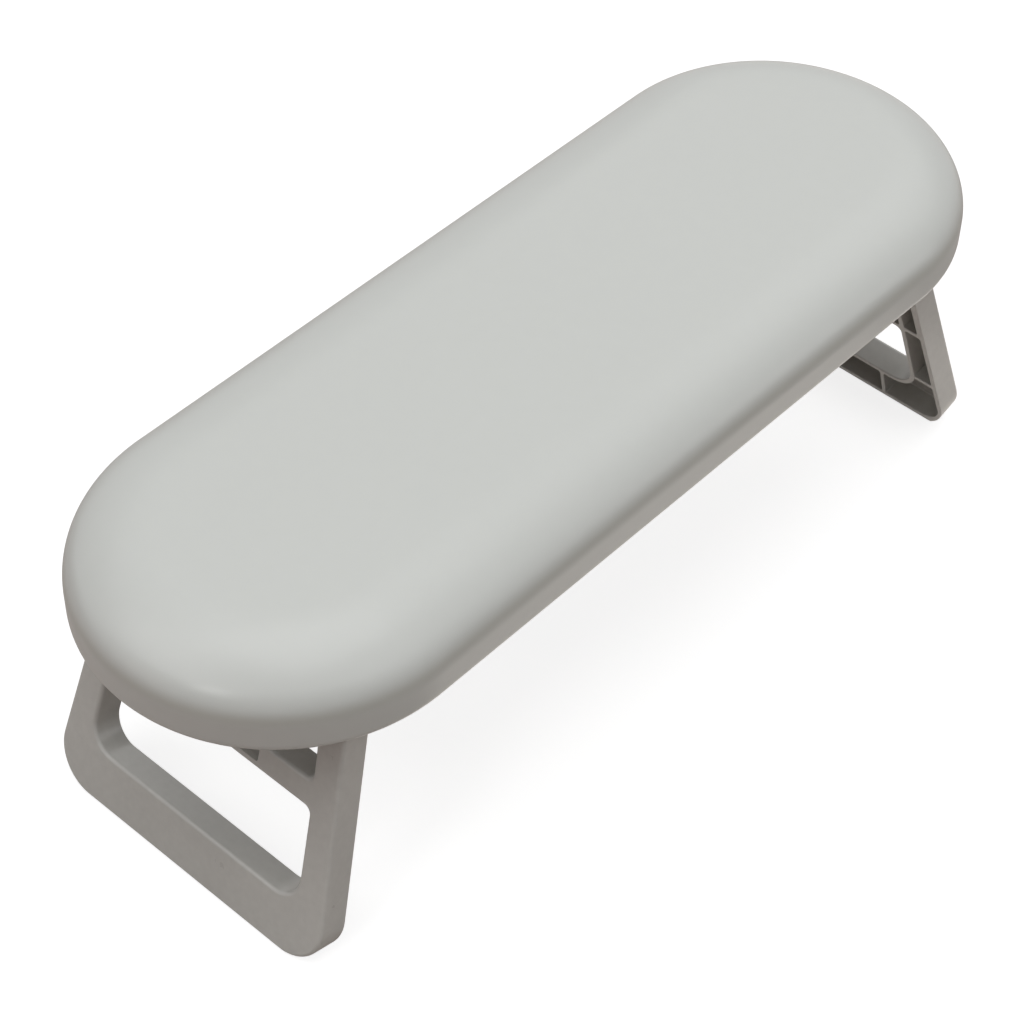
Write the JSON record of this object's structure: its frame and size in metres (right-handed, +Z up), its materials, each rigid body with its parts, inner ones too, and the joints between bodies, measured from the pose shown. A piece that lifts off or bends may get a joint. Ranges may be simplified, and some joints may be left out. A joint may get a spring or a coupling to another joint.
{
  "type": "manicure hand rest",
  "caption": "Long padded hand rest with round ends, on splayed moulded leg frames that fold up flat into its hollow underside.",
  "frame": {"origin": "on the table, under the middle of the board, with the legs open", "axes": "+X along the board to its right end, +Y across it to the back, +Z up"},
  "size_m": [0.335, 0.12, 0.1127],
  "materials": {
    "cover": "smooth matt light grey leather-look skin with a soft sheen",
    "foam": "moulded soft foam, hidden",
    "core": "thin plywood, hidden",
    "tray_plastic": "satin moulded warm grey plastic",
    "leg_plastic": "satin moulded warm grey plastic",
    "cap_plastic": "satin moulded warm grey plastic",
    "pad_rubber": "matt soft rubber",
    "pin_steel": "drawn steel",
    "screw_steel": "zinc-plated steel",
    "spring_steel": "spring steel strip"
  },
  "bodies": {
    "board": {"cover_skin": "cover", "foam_pad": "foam", "core_board": "core", "base_tray": "tray_plastic", "tray_screws": "screw_steel", "left_front_hinge_pin": "pin_steel", "left_back_hinge_pin": "pin_steel", "right_front_hinge_pin": "pin_steel", "right_back_hinge_pin": "pin_steel", "left_front_hinge_cap": "cap_plastic", "left_back_hinge_cap": "cap_plastic", "right_front_hinge_cap": "cap_plastic", "right_back_hinge_cap": "cap_plastic", "hinge_cap_screws": "screw_steel", "left_fold_clip": "spring_steel", "right_fold_clip": "spring_steel", "fold_clip_screws": "screw_steel"},
    "left_leg": {"left_leg_frame": "leg_plastic", "left_front_foot_pad": "pad_rubber", "left_back_foot_pad": "pad_rubber"},
    "right_leg": {"right_leg_frame": "leg_plastic", "right_front_foot_pad": "pad_rubber", "right_back_foot_pad": "pad_rubber"}
  },
  "joints": [
    {"name": "left_leg_fold", "type": "hinge", "parent": "board", "child": "left_leg", "pos_m": [-0.1224, 0, 0.0904], "axis": [0, -1, 0], "range_deg": [0, 107.1]},
    {"name": "right_leg_fold", "type": "hinge", "parent": "board", "child": "right_leg", "pos_m": [0.1224, 0, 0.0904], "axis": [0, 1, 0], "range_deg": [0, 107.1]}
  ]
}
